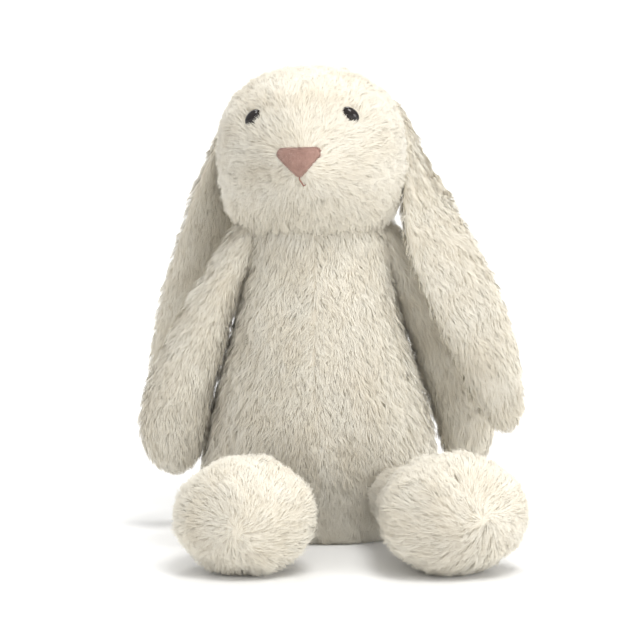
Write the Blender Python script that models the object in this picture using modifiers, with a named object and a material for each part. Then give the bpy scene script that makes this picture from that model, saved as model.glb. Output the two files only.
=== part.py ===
"""A seated plush bunny with long hanging ears, built as it is sewn: fabric panels round polyester stuffing.

The toy faces -Y, its own left is +X, up is +Z, and the origin is the middle of the flat seat on the floor.
Every soft piece is a coarse cage under a Subdivision Surface. Its fabric is a Solidify shell cut into panels
along the seams, and its stuffing is the same cage drawn inwards, so both always fit each other.
"""

import math

import bmesh
import bpy
from mathutils import Matrix, Vector

MM = 0.001

# Fabric and seams
FABRIC = 1.2 * MM  # thickness of the plush backing
SEAM = 0.3 * MM  # gap left between two pieces that touch
STUFFING_INSET = 2.0 * MM  # from the outside of the fabric to the stuffing
THREAD = 1.0 * MM  # radius of the heavy thread that closes each limb
WELD = 0.01 * MM  # points nearer than this are the same point
BEYOND = 200 * MM  # a cutter this large reaches past the whole toy
HALF_REACH = 5 * MM  # how far a limb's half cutter stands outside its fabric
BALL_POLE = 1.5  # how far past its centre the cage of a round limb end reaches, in radii

# Head
HEAD_CENTRE = Vector((-5, 2, 221)) * MM
HEAD_TURN = math.radians(-7)  # the face looks a little to its own right
HEAD_TILT = math.radians(-2)
HEAD_HALF = Vector((51.5, 50, 45.5)) * MM
CROWN_POWER = 2.25  # the same for the upper half, whose crown is a little flatter than a ball
CHEEK_POWER = 3.3  # 2 would make the lower half an ellipsoid, and more makes the cheeks fuller
MUZZLE_OUT = 8 * MM
MUZZLE_DROP = 9 * MM
GUSSET_HALF = 15 * MM  # half the width of the strip over the top of the head
EYE_APART = 27.2 * MM  # from the middle of the face to an eye
EYE_UP = 19 * MM
EYE_RADIUS = 4.7 * MM
EYE_DOME = 3.6 * MM
EYE_STEM = Vector((1.6, 6.0)) * MM  # radius and length
WASHER_OUTER = 6 * MM
WASHER_THICK = 1.2 * MM
WASHER_GAP = 2.2 * MM  # the flat washer meets the curved fabric only round its rim
NOSE_WIDTH = 24.5 * MM
NOSE_HEIGHT = 16 * MM
NOSE_UP = -6 * MM
NOSE_PUFF = 2.6 * MM
NOSE_CORNER = 3.2 * MM
EYE_POCKET = Vector((6.5, 7.5)) * MM  # radius and depth of the hollow in the stuffing round a washer
MUZZLE_WIDE = 24 * MM
MUZZLE_HIGH = 17 * MM
MOUTH_LENGTH = 5 * MM
MOUTH_SLANT = 3 * MM  # the stitch ends this far towards the toy's left
MOUTH_THREAD = 0.4 * MM

# Body: height, half width, half depth, shift in X and shift in Y of each level of the cage
BODY_LEVELS = [
    (-4, 60, 48, 0, -2),
    (20, 70.5, 57, 0, -2),
    (60, 66.5, 55, 0, -2),
    (100, 53.5, 47, -1, -1),
    (135, 44.5, 39, -1.5, 1),
    (157, 39, 32, -2, 3),
    (168.5, 30, 24, -3, 3),
]
BODY_BOTTOM = -12
BODY_TOP = 172
SIDE_SEAM_Y = 1 * MM  # the front panels meet the back panel at this depth
SEAT_THICK = 1.2 * MM
PELLET_BAG = 15 * MM  # height of the bag of pellets over the seat

# Limbs: middle (x, y, z), half across, half through, turn of the across direction in degrees
ARM_LEFT = [
    ((40, 6, 167.5), 5.5, 9, 0),
    ((47.5, 8, 150.5), 8, 10, 0),
    ((58, 10.5, 129), 11.5, 12, 0),
    ((71.5, 13, 101), 15.5, 15, 0),
    ((84.5, 14.5, 71), 17.5, 16.5, 0),
    ((87.5, 14.5, 46), 14.5, 13, 0),
]
ARM_RIGHT = [
    ((-43.5, -4, 167.5), 5.5, 9, 0),
    ((-52.5, -6, 151.5), 9.5, 10.5, 0),
    ((-62.5, -9, 130), 13, 12.5, 0),
    ((-74.5, -11.5, 102), 16.5, 15.5, 0),
    ((-84.5, -12.5, 71), 20.5, 17.5, 0),
    ((-84.5, -12.5, 46.5), 16.5, 13.5, 0),
]
ARM_TIP = 15
EAR_LEFT = [
    ((43, 26.5, 240), 10.5, 4, 112),
    ((52.5, 20.5, 222), 14, 4.4, 92),
    ((59.5, 9, 202), 18, 5.6, 58),
    ((65, -10, 175), 21.5, 6, 22),
    ((78.5, -22, 145), 21, 6, 6),
    ((93, -28, 112), 18.5, 6, 0),
    ((103, -29, 77), 14.5, 5.5, 0),
]
EAR_RIGHT = [
    ((-46.5, 35.5, 240), 11, 4, 52),
    ((-53.5, 36, 222), 14, 4.4, 56),
    ((-59.5, 35.5, 202), 18, 5.6, 54),
    ((-63, 36, 175), 20.5, 6, 30),
    ((-69.5, 37, 145), 20.5, 6, 6),
    ((-80, 38, 115), 18.5, 6, 0),
    ((-88, 38, 86), 14.5, 5.5, 0),
]
EAR_TIP = 24
EAR_INSET = 2.9 * MM  # from the outside of an ear's fabric to its padding
LEG_LEFT = [
    ((44, -65.5, 28), 16, 16, 0),
    ((52, -87, 28.5), 17.5, 17.5, 0),
    ((65, -108, 31), 37, 31, 0),
    ((75, -132, 31.4), 42.5, 32, 0),
    ((80, -147, 31), 22, 18, 0),
]
LEG_RIGHT = [
    ((-39, -68.5, 28), 16, 16, 0),
    ((-39, -89, 28.5), 17.5, 17.5, 0),
    ((-39.6, -109, 30.6), 35, 30, 0),
    ((-40.2, -133, 30.8), 38.5, 31.5, 0),
    ((-40.4, -148, 30.2), 20, 17.5, 0),
]
LEG_TIP = 5
LEG_INSET = 3.0 * MM  # the stuffing keeps clear of the fabric where a leg widens quickly
SOLE_DEPTH = 12 * MM  # how far the sole panel wraps back from the front of the foot
PELLET_DEPTH = 9 * MM  # thickness of the bag of pellets behind the sole

# Tail, neck and the seams that tie the limbs on
TAIL_CENTRE = Vector((0, 67.6, 32)) * MM
TAIL_RADIUS = 15.5 * MM
TAIL_MOUTH = 5 * MM  # radius of the gathered opening that faces the body
NECK = Vector((-4, 3, 173.3)) * MM
NECK_RING = 10 * MM
SHOULDER_SEAM = Vector((-7.5, 4)) * MM  # from the arm's pivot, outwards and up
HIP_RING = 7 * MM
HIP_SEAM_OUT = 16.5 * MM
SEAM_LENGTH = 12 * MM  # the straight rows of thread that hold the ears and the arms
SEAM_THREAD = 0.8 * MM
EAR_SEAM_OUT = 6.2 * MM
EAR_SEAM_RISE = 1.0  # the seam lies towards the head and as much upwards

# Colours are linear RGB with roughness and metallic
CREAM = ((0.80, 0.74, 0.62), 0.95, 0.0)
SHADE = ((0.74, 0.67, 0.54), 0.95, 0.0)
PINK = ((0.40, 0.20, 0.16), 0.8, 0.0)
FILLING = ((0.90, 0.90, 0.88), 1.0, 0.0)
PELLETS = ((0.62, 0.62, 0.58), 0.7, 0.0)
BLACK = ((0.012, 0.010, 0.009), 0.08, 0.0)
CLEAR = ((0.70, 0.70, 0.66), 0.4, 0.0)
THREADS = ((0.72, 0.64, 0.50), 0.85, 0.0)
ROSE_THREAD = ((0.45, 0.25, 0.20), 0.8, 0.0)


# ---------------------------------------------------------------- scene, materials, placing


def clear_scene():
    for thing in list(bpy.data.objects):
        bpy.data.objects.remove(thing, do_unlink=True)


def new_collection(name):
    made = bpy.data.collections.new(name)
    bpy.context.scene.collection.children.link(made)
    return made


def finish(thing, look):
    """Gives a piece its own Principled material."""
    colour, roughness, metallic = look
    material = bpy.data.materials.new(thing.name + "_finish")
    material.use_nodes = True
    shader = material.node_tree.nodes["Principled BSDF"]
    shader.inputs["Base Color"].default_value = (*colour, 1)
    shader.inputs["Roughness"].default_value = roughness
    shader.inputs["Metallic"].default_value = metallic
    thing.data.materials.append(material)


def mesh_from(bm, name):
    """A mesh with its faces pointing out, and the bmesh is freed."""
    bmesh.ops.recalc_face_normals(bm, faces=bm.faces)
    mesh = bpy.data.meshes.new(name)
    bm.to_mesh(mesh)
    bm.free()
    return mesh


class Piece:
    """Adds objects to the toy, on the empty that stands for their moving body."""

    def __init__(self):
        self.parts = new_collection("stuffed_bunny")
        self.cutters = new_collection("cutters")
        self.pivots = {}

    def pivot(self, body, place):
        empty = bpy.data.objects.new(body, None)
        empty.location = place
        self.parts.objects.link(empty)
        self.pivots[body] = empty

    def add(self, name, mesh, body, look):
        """The mesh is given in world space, and moved so that its origin is the body's pivot."""
        empty = self.pivots[body]
        mesh.transform(Matrix.Translation(-empty.location))
        thing = bpy.data.objects.new(name, mesh)
        thing.parent = empty
        self.parts.objects.link(thing)
        mesh.shade_smooth()
        finish(thing, look)
        return thing

    def cutter(self, name, mesh):
        thing = bpy.data.objects.new(name, mesh)
        thing.hide_render = True
        thing.display_type = "WIRE"
        self.cutters.objects.link(thing)
        return thing


# ---------------------------------------------------------------- modifiers


def subdivide(thing):
    modifier = thing.modifiers.new("soft", "SUBSURF")
    modifier.levels = 1
    modifier.render_levels = 1
    return thing


def draw_in(thing, distance):
    """Moves the whole surface inwards, or outwards for a negative distance."""
    modifier = thing.modifiers.new("draw in", "DISPLACE")
    modifier.strength = -distance
    modifier.mid_level = 0
    return thing


def thicken(thing):
    modifier = thing.modifiers.new("fabric", "SOLIDIFY")
    modifier.thickness = FABRIC
    modifier.offset = -1
    modifier.use_even_offset = True
    return thing


def cut(thing, cutter, operation="DIFFERENCE"):
    modifier = thing.modifiers.new(cutter.name, "BOOLEAN")
    modifier.operation = operation
    modifier.object = cutter
    modifier.solver = "EXACT"
    return thing


# ---------------------------------------------------------------- shapes


def swell(sides):
    """Subdividing a ring of this many points draws it in, and this is what makes up for it."""
    return 8 / (6 + 2 * math.cos(2 * math.pi / sides))


def rings_of(stations, start, end):
    """The middle, across, through and along directions of each station, between the points start and end."""
    middles = [Vector(s[0]) * MM for s in stations]
    line = [start] + middles + [end]
    frames = []
    for i, station in enumerate(stations):
        along = (line[i + 2] - line[i]).normalized()
        turn = math.radians(station[3])
        across = Vector((math.cos(turn), math.sin(turn), 0))
        across = (across - across.dot(along) * along).normalized()
        frames.append((middles[i], across, along.cross(across), station[1] * MM, station[2] * MM))
    return frames


def cap_points(stations, tip):
    """A limb's two end points: past its first ring by that ring's radius, and past its last by the tip."""
    first, second, before_last, last = (Vector(stations[i][0]) for i in (0, 1, -2, -1))
    start = first + (first - second).normalized() * min(stations[0][1:3]) * BALL_POLE
    end = last + (last - before_last).normalized() * tip
    return start * MM, end * MM


def tube_cage(name, frames, start, end, sides):
    """A closed cage: one ring of points for each frame, drawn together to a point at both ends."""
    bm = bmesh.new()
    grow = swell(sides)
    rings = []
    for middle, across, through, half_across, half_through in frames:
        ring = []
        for k in range(sides):
            angle = 2 * math.pi * k / sides
            offset = across * (half_across * math.cos(angle)) + through * (half_through * math.sin(angle))
            ring.append(bm.verts.new(middle + offset * grow))
        rings.append(ring)
    for low, high in zip(rings, rings[1:]):
        for k in range(sides):
            bm.faces.new((low[k], low[(k + 1) % sides], high[(k + 1) % sides], high[k]))
    for ring, tip in ((rings[0], start), (rings[-1], end)):
        point = bm.verts.new(tip)
        for k in range(sides):
            bm.faces.new((ring[k], ring[(k + 1) % sides], point))
    return mesh_from(bm, name)


def narrowed(frames, start, end, inset):
    """The same limb, this much thinner all round and twice as much shorter at both pointed ends."""
    thinner = [(*frame[:3], frame[3] - inset, frame[4] - inset) for frame in frames]
    first, last = frames[0][0], frames[-1][0]
    shorter = 2 * inset
    return thinner, start + (first - start).normalized() * shorter, end + (last - end).normalized() * shorter


def half_cage(name, frames, start, end, side):
    """A solid that holds one side of a limb, from its middle sheet outwards: side is 1 or -1."""
    bm = bmesh.new()
    reach = HALF_REACH
    first, last = frames[0], frames[-1]
    before = (start + (start - first[0]).normalized() * reach, *first[1:])
    after = (end + (end - last[0]).normalized() * reach, *last[1:])
    rows = []
    for middle, across, through, half_across, half_through in [before, *frames, after]:
        wide = half_across + reach
        near = through * (side * SEAM / 2)
        far = through * (side * (half_through + reach))
        out = across * wide
        offsets = (near - out, near, near + out, far + out, far - out)
        rows.append([bm.verts.new(middle + offset) for offset in offsets])
    count = len(rows[0])
    for low, high in zip(rows, rows[1:]):
        for k in range(count):
            a, b, c, d = low[k], low[(k + 1) % count], high[(k + 1) % count], high[k]
            bm.faces.new((a, b, c))
            bm.faces.new((a, c, d))
    bm.faces.new(rows[0])
    bm.faces.new(rows[-1])
    return mesh_from(bm, name)


def box(name, low, high):
    bm = bmesh.new()
    size = high - low
    place = Matrix.Translation((low + high) / 2) @ Matrix.Diagonal((*size, 1))
    bmesh.ops.create_cube(bm, size=1, matrix=place)
    return mesh_from(bm, name)


def rod(name, place, direction, radius, low, high, sides=16):
    """A cylinder along a direction, from low to high past the place."""
    bm = bmesh.new()
    turn = direction.to_track_quat("Z", "Y").to_matrix().to_4x4()
    middle = Matrix.Translation(place + direction * (low + high) / 2) @ turn
    bmesh.ops.create_cone(
        bm, cap_ends=True, segments=sides, radius1=radius, radius2=radius, depth=high - low, matrix=middle
    )
    return mesh_from(bm, name)


def turned(name, profile, place, direction, steps=14):
    """A profile of (radius, height) points, outer side down, turned with a Screw modifier."""
    bm = bmesh.new()
    points = [bm.verts.new((radius, 0, height)) for radius, height in profile]
    for a, b in zip(points, points[1:]):
        bm.edges.new((a, b))
    mesh = bpy.data.meshes.new(name)
    bm.to_mesh(mesh)
    bm.free()
    guide = bpy.data.objects.new(name + "_profile", mesh)
    bpy.context.scene.collection.objects.link(guide)
    screw = guide.modifiers.new("turn", "SCREW")
    screw.steps = steps
    screw.render_steps = steps
    screw.use_merge_vertices = True
    screw.merge_threshold = WELD
    bpy.context.view_layer.update()
    made = bpy.data.meshes.new_from_object(guide.evaluated_get(bpy.context.evaluated_depsgraph_get()))
    bpy.data.objects.remove(guide)
    made.transform(Matrix.Translation(place) @ direction.to_track_quat("Z", "Y").to_matrix().to_4x4())
    return made


def ring_thread(name, place, direction, radius, thread=THREAD):
    """A ring of heavy thread round a limb's seam."""
    steps = 12
    corners = 5
    profile = []
    for k in range(corners + 1):
        angle = math.pi / 2 - 2 * math.pi * k / corners
        profile.append((radius + thread * math.cos(angle), thread * math.sin(angle)))
    mesh = turned(name, profile, place, direction, steps)
    bm = bmesh.new()
    bm.from_mesh(mesh)
    bmesh.ops.remove_doubles(bm, verts=bm.verts, dist=WELD)
    return mesh_from(bm, name)


# ---------------------------------------------------------------- the pieces


def head_cage(name):
    """An ellipsoid with full cheeks and a muzzle, turned and tilted the way the head sits."""
    bm = bmesh.new()
    bmesh.ops.create_uvsphere(bm, u_segments=18, v_segments=12, radius=1)
    bmesh.ops.triangulate(bm, faces=bm.faces)
    for vert in bm.verts:
        x, y, z = vert.co
        power = CHEEK_POWER if z < 0 else CROWN_POWER
        full = 1.0
        if -0.999 < z < 0.999:
            full = (1 - abs(z) ** power) ** (1 / power) / math.sqrt(1 - z * z)
        deep = (1 + full) / 2
        point = Vector((x * full * HEAD_HALF.x, y * deep * HEAD_HALF.y, z * HEAD_HALF.z))
        if y < 0:
            near = math.exp(-((point.x / MUZZLE_WIDE) ** 2) - ((point.z + MUZZLE_DROP) / MUZZLE_HIGH) ** 2)
            point.y -= MUZZLE_OUT * near * min(1.0, -2 * y)
        vert.co = point
    bmesh.ops.transform(bm, matrix=head_frame(), verts=bm.verts)
    return mesh_from(bm, name)


def head_frame():
    turn = Matrix.Rotation(HEAD_TURN, 4, "Z") @ Matrix.Rotation(HEAD_TILT, 4, "Y")
    return Matrix.Translation(HEAD_CENTRE) @ turn


def on_face(surface, across, up, offset=0.0):
    """The point of the face that lies this far across and up from the head's middle, and its normal."""
    frame = head_frame()
    origin = frame @ Vector((across, -3 * HEAD_HALF.y, up))
    direction = frame.to_3x3() @ Vector((0, 1, 0))
    hit, point, normal, _ = surface.ray_cast(origin, direction)
    assert hit
    return point + normal * offset, normal


def make_head(toy):
    shell = toy.cutter("head_surface", head_cage("head_surface"))
    bpy.context.view_layer.update()
    frame = head_frame()
    far = BEYOND
    gap = SEAM / 2
    strip_low = HEAD_HALF.z * 0.02
    strip = box("gusset_box", Vector((-GUSSET_HALF, -far, strip_low)), Vector((GUSSET_HALF, far, far)))
    room_half = GUSSET_HALF + SEAM
    room = box("gusset_room", Vector((-room_half, -far, strip_low - SEAM)), Vector((room_half, far, far)))
    left = box("head_left_half", Vector((gap, -far, -far)), Vector((far, far, far)))
    right = box("head_right_half", Vector((-far, -far, -far)), Vector((-gap, far, far)))
    cutters = {}
    for mesh in (strip, room, left, right):
        mesh.transform(frame)
        cutters[mesh.name] = toy.cutter(mesh.name, mesh)

    panels = {}
    for side in ("left", "right"):
        name = f"head_{side}_panel"
        panel = thicken(toy.add(name, head_cage(name), "head", CREAM))
        cut(panel, cutters[f"head_{side}_half"], "INTERSECT")
        cut(panel, cutters["gusset_room"])
        panels[side] = panel
    gusset = thicken(toy.add("head_gusset", head_cage("head_gusset"), "head", CREAM))
    cut(gusset, cutters["gusset_box"], "INTERSECT")
    stuffing = draw_in(toy.add("head_stuffing", head_cage("head_stuffing"), "head", FILLING), STUFFING_INSET)

    for side, sign in (("left", 1), ("right", -1)):
        point, normal = on_face(shell, sign * EYE_APART, EYE_UP, SEAM)
        make_eye(toy, side, point, normal)
        hole = rod(f"eye_{side}_hole", point, normal, EYE_STEM.x + SEAM, -EYE_STEM.y / 2, EYE_DOME)
        cut(panels[side], toy.cutter(hole.name, hole))
        pocket = rod(f"eye_{side}_pocket", point, normal, EYE_POCKET.x, -EYE_POCKET.y, EYE_DOME)
        cut(stuffing, toy.cutter(pocket.name, pocket))
    make_nose(toy)
    make_mouth(toy, shell)


def make_eye(toy, side, point, normal):
    """A safety eye: a black dome on a stem that goes through the fabric, held by a washer inside."""
    profile = []
    steps = 4
    for k in range(steps + 1):
        angle = math.pi / 2 * (1 - k / steps)
        profile.append((EYE_RADIUS * math.cos(angle), EYE_DOME * math.sin(angle) + 0.4 * MM))
    profile[0] = (0, profile[0][1])
    profile += [(EYE_RADIUS * 0.94, 0), (EYE_STEM.x, 0), (EYE_STEM.x, -EYE_STEM.y), (0, -EYE_STEM.y)]
    toy.add(f"eye_{side}", turned(f"eye_{side}", profile, point, normal), "head", BLACK)
    top = -(FABRIC + WASHER_GAP)
    bore = EYE_STEM.x + SEAM
    ring = [(bore, top), (WASHER_OUTER, top), (WASHER_OUTER, top - WASHER_THICK), (bore, top - WASHER_THICK)]
    mesh = turned(f"eye_washer_{side}", ring + ring[:1], point, normal, 12)
    bm = bmesh.new()
    bm.from_mesh(mesh)
    bmesh.ops.remove_doubles(bm, verts=bm.verts, dist=WELD)
    toy.add(f"eye_washer_{side}", mesh_from(bm, f"eye_washer_{side}"), "head", CLEAR)


def make_nose(toy):
    """A padded triangle of fabric with rounded corners, lying on the muzzle."""
    half, drop, corner = NOSE_WIDTH / 2, NOSE_HEIGHT, NOSE_CORNER
    corners = [(-half + corner, -corner), (half - corner, -corner), (0, -drop + corner * 1.1)]
    outline = []
    for index, (x, z) in enumerate(corners):
        start = (210, 90, 330)[index]
        for k in range(5):
            angle = math.radians(start - k * 30)
            outline.append((x + corner * math.cos(angle), z + corner * math.sin(angle)))
    bm = bmesh.new()
    top = NOSE_UP + drop / 2
    front = -2 * HEAD_HALF.y
    face = bm.faces.new([bm.verts.new((x, front, top + z)) for x, z in outline])
    pushed = bmesh.ops.extrude_face_region(bm, geom=[face])["geom"]
    moved = [part for part in pushed if isinstance(part, bmesh.types.BMVert)]
    bmesh.ops.translate(bm, verts=moved, vec=(0, -0.8 * front, 0))
    mesh = mesh_from(bm, "nose")
    mesh.transform(head_frame())
    nose = toy.add("nose", mesh, "head", PINK)
    over = draw_in(toy.cutter("nose_outside", head_cage("nose_outside")), -NOSE_PUFF)
    under = draw_in(toy.cutter("nose_underside", head_cage("nose_underside")), -SEAM)
    cut(nose, over, "INTERSECT")
    cut(nose, under)


def make_mouth(toy, surface):
    """One short slanting stitch below the tip of the nose."""
    curve = bpy.data.curves.new("mouth_line", "CURVE")
    curve.dimensions = "3D"
    curve.bevel_depth = MOUTH_THREAD
    curve.bevel_resolution = 2
    curve.use_fill_caps = True
    spline = curve.splines.new("POLY")
    count = 4
    spline.points.add(count - 1)
    start = NOSE_UP - NOSE_HEIGHT / 2 - 4 * SEAM
    for k in range(count):
        part = k / (count - 1)
        point, _ = on_face(surface, MOUTH_SLANT * part, start - MOUTH_LENGTH * part, MOUTH_THREAD + 2 * SEAM)
        spline.points[k].co = (*point, 1)
    line = bpy.data.objects.new("mouth_line", curve)
    bpy.context.scene.collection.objects.link(line)
    bpy.context.view_layer.update()
    mesh = bpy.data.meshes.new_from_object(line.evaluated_get(bpy.context.evaluated_depsgraph_get()))
    bpy.data.objects.remove(line)
    bm = bmesh.new()
    bm.from_mesh(mesh)
    bmesh.ops.remove_doubles(bm, verts=bm.verts, dist=WELD)
    toy.add("mouth_stitch", mesh_from(bm, "mouth_stitch"), "head", ROSE_THREAD)


def body_cage(name):
    frames = []
    for height, half_x, half_y, shift_x, shift_y in BODY_LEVELS:
        middle = Vector((shift_x, shift_y, height)) * MM
        frames.append((middle, Vector((1, 0, 0)), Vector((0, 1, 0)), half_x * MM, half_y * MM))
    low, high = BODY_LEVELS[0], BODY_LEVELS[-1]
    start = Vector((low[3], low[4], BODY_BOTTOM)) * MM
    end = Vector((high[3], high[4], BODY_TOP)) * MM
    return tube_cage(name, frames, start, end, 8)


def make_body(toy):
    """Two front panels, one back panel and a flat seat, over a bag of pellets and the stuffing."""
    far = BEYOND
    gap = SEAM / 2
    seam_y = SIDE_SEAM_Y
    corners = {
        "body_front_left_panel": ((gap, -far, 0), (far, seam_y - gap, far)),
        "body_front_right_panel": ((-far, -far, 0), (-gap, seam_y - gap, far)),
        "body_back_panel": ((-far, seam_y + gap, 0), (far, far, far)),
    }
    for name, (low, high) in corners.items():
        panel = thicken(subdivide(toy.add(name, body_cage(name), "body", CREAM)))
        cut(panel, toy.cutter(name + "_box", box(name + "_box", Vector(low), Vector(high))), "INTERSECT")
    bag_top = SEAT_THICK + SEAM + PELLET_BAG
    slabs = (
        ("body_seat_panel", 0, SEAT_THICK, SHADE),
        ("body_pellet_bag", SEAT_THICK + SEAM, bag_top, PELLETS),
        ("body_stuffing", bag_top + SEAM, far, FILLING),
    )
    for name, low, high, look in slabs:
        piece = draw_in(subdivide(toy.add(name, body_cage(name), "body", look)), STUFFING_INSET)
        slab = box(name + "_box", Vector((-far, -far, low)), Vector((far, far, high)))
        cut(piece, toy.cutter(name + "_box", slab), "INTERSECT")


def make_limb(toy, name, body, stations, tip, sides, sheet_names, filling_name, inset=STUFFING_INSET):
    """Two fabric panels that meet along a limb's middle sheet, and what fills them."""
    start, end = cap_points(stations, tip)
    frames = rings_of(stations, start, end)
    made = {}
    for sheet, side in sheet_names:
        panel_name = f"{name}_{sheet}_panel"
        cage = tube_cage(panel_name, frames, start, end, sides)
        panel = thicken(subdivide(toy.add(panel_name, cage, body, CREAM)))
        half = half_cage(f"{panel_name}_half", frames, start, end, side)
        cut(panel, toy.cutter(half.name, half), "INTERSECT")
        made[sheet] = panel
    filling = f"{name}_{filling_name}"
    cage = tube_cage(filling, *narrowed(frames, start, end, inset), sides)
    made[filling_name] = subdivide(toy.add(filling, cage, body, FILLING))
    return made, frames, start, end


def make_leg(toy, side, stations):
    """A leg's top and under panels, its sole, the stuffing, and a bag of pellets behind the sole."""
    body = f"leg_{side}"
    sheets = (("top", 1), ("under", -1))
    made, frames, start, end = make_limb(toy, body, body, stations, LEG_TIP, 8, sheets, "stuffing", LEG_INSET)
    along = (end - frames[-2][0]).normalized()
    turn = along.to_track_quat("Z", "Y").to_matrix().to_4x4()
    wide = BEYOND / 2
    level = Matrix.Translation(end - along * SOLE_DEPTH) @ turn

    def slab(name, low, high):
        mesh = box(name, Vector((-wide, -wide, low)), Vector((wide, wide, high)))
        mesh.transform(level)
        return toy.cutter(name, mesh)

    room = slab(f"sole_{side}_room", -SEAM, wide)
    for sheet in ("top", "under"):
        cut(made[sheet], room)
    sole_name = f"foot_{side}_sole"
    sole = thicken(subdivide(toy.add(sole_name, tube_cage(sole_name, frames, start, end, 8), body, SHADE)))
    cut(sole, slab(f"sole_{side}_keep", 0, wide), "INTERSECT")
    bag_back = SOLE_DEPTH - LEG_INSET - PELLET_DEPTH
    bag_name = f"foot_{side}_pellet_bag"
    bag_cage = tube_cage(bag_name, *narrowed(frames, start, end, LEG_INSET), 8)
    bag = subdivide(toy.add(bag_name, bag_cage, body, PELLETS))
    cut(bag, slab(f"bag_{side}_keep", bag_back, wide), "INTERSECT")
    cut(made["stuffing"], slab(f"bag_{side}_room", bag_back - SEAM, wide))


def make_tail(toy):
    """A round tail sewn to the back panel: one gathered circle of plush over a ball of stuffing."""

    def ball(name, radius):
        bm = bmesh.new()
        bmesh.ops.create_uvsphere(bm, u_segments=12, v_segments=8, radius=radius)
        bmesh.ops.translate(bm, verts=bm.verts, vec=TAIL_CENTRE)
        return mesh_from(bm, name)

    cover = thicken(toy.add("tail_cover", ball("tail_cover", TAIL_RADIUS), "body", CREAM))
    toward_body = Vector((0, -1, 0))
    mouth = rod("tail_mouth", TAIL_CENTRE, toward_body, TAIL_MOUTH, TAIL_RADIUS / 2, TAIL_RADIUS * 2, 12)
    cut(cover, toy.cutter("tail_mouth", mouth))
    toy.add("tail_stuffing", ball("tail_stuffing", TAIL_RADIUS - STUFFING_INSET), "body", FILLING)


def seam_ring(toy, name, body, place, direction, radius):
    """The thread that gathers and ties a limb's round end, between the limb and what it is sewn to."""
    toy.add(name, ring_thread(name, place, direction, radius), body, THREADS)


def seam_line(toy, name, body, place, turn):
    """A short straight row of thread, level, and turned this far round the vertical from +X."""
    half = SEAM_LENGTH / 2
    along = Vector((math.cos(turn), math.sin(turn), 0))
    toy.add(name, rod(name, place, along, SEAM_THREAD, -half, half, 8), body, THREADS)


def main():
    clear_scene()
    toy = Piece()
    toy.pivot("body", Vector((0, 0, 0)))
    toy.pivot("neck_seam", NECK)
    toy.pivot("head", NECK)
    limbs = {
        "arm_left": ARM_LEFT,
        "arm_right": ARM_RIGHT,
        "ear_left": EAR_LEFT,
        "ear_right": EAR_RIGHT,
        "leg_left": LEG_LEFT,
        "leg_right": LEG_RIGHT,
    }
    for name, stations in limbs.items():
        toy.pivot(name, Vector(stations[0][0]) * MM)
        toy.pivot(name + "_seam", Vector(stations[0][0]) * MM)
    make_body(toy)
    make_tail(toy)
    make_head(toy)
    up = Vector((0, 0, 1))
    toy.add("neck_seam_thread", ring_thread("neck_seam_thread", NECK, up, NECK_RING), "neck_seam", THREADS)
    for side in ("left", "right"):
        arm, ear, leg = (limbs[f"{kind}_{side}"] for kind in ("arm", "ear", "leg"))
        sheets = (("front", -1), ("back", 1))
        make_limb(toy, f"arm_{side}", f"arm_{side}", arm, ARM_TIP, 6, sheets, "stuffing")
        make_limb(toy, f"ear_{side}", f"ear_{side}", ear, EAR_TIP, 6, sheets, "padding", EAR_INSET)
        make_leg(toy, side, leg)
        out = 1 if side == "left" else -1
        shoulder, hip, root = (Vector(stations[0][0]) * MM for stations in (arm, leg, ear))
        place = shoulder + Vector((out * SHOULDER_SEAM.x, 0, SHOULDER_SEAM.y))
        seam_line(toy, f"arm_{side}_seam_thread", f"arm_{side}_seam", place, math.radians(90))
        place = hip + Vector((0, HIP_SEAM_OUT, 0))
        seam_ring(toy, f"leg_{side}_seam_thread", f"leg_{side}_seam", place, Vector((0, 1, 0)), HIP_RING)
        turn = math.radians(ear[0][3])
        along = Vector((math.cos(turn), math.sin(turn), 0))
        to_head = Vector((-out, 0, 0))
        to_head = (to_head - to_head.dot(along) * along).normalized()
        place = root + (to_head + Vector((0, 0, EAR_SEAM_RISE))).normalized() * EAR_SEAM_OUT
        seam_line(toy, f"ear_{side}_seam_thread", f"ear_{side}_seam", place, turn)


main()
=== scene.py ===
# %% [markdown]
# # A seated plush bunny
#
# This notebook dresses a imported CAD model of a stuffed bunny. The CAD gives the places, the sizes and the
# joints. The looks come from here: smooth stuffed skins, a real pile of combed plush hairs on every one of
# them, glossy safety eyes, a velvet nose, embroidery, seam threads, and a plain photo studio.
#
# The toy sits on Z = 0 and faces -Y. Its own left is +X. Every length is in metres.

import math

import bmesh
import bpy
import numpy as np
from mathutils import Matrix, Vector
from mathutils.bvhtree import BVHTree
from mathutils.kdtree import KDTree


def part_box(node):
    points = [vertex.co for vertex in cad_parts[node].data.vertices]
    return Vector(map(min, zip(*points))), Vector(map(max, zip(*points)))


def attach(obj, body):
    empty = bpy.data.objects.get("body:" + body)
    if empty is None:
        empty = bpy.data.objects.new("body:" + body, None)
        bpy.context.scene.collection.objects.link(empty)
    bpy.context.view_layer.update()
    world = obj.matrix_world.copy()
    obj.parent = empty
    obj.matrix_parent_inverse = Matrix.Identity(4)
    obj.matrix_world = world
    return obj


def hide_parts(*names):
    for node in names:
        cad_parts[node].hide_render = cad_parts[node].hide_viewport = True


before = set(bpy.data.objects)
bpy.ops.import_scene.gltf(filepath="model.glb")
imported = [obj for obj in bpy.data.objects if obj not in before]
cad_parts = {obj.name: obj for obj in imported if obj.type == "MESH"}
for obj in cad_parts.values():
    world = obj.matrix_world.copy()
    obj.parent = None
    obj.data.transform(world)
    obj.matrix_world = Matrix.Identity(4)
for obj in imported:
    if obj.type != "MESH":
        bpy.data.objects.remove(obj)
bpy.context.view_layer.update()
MM = 0.001

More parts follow.
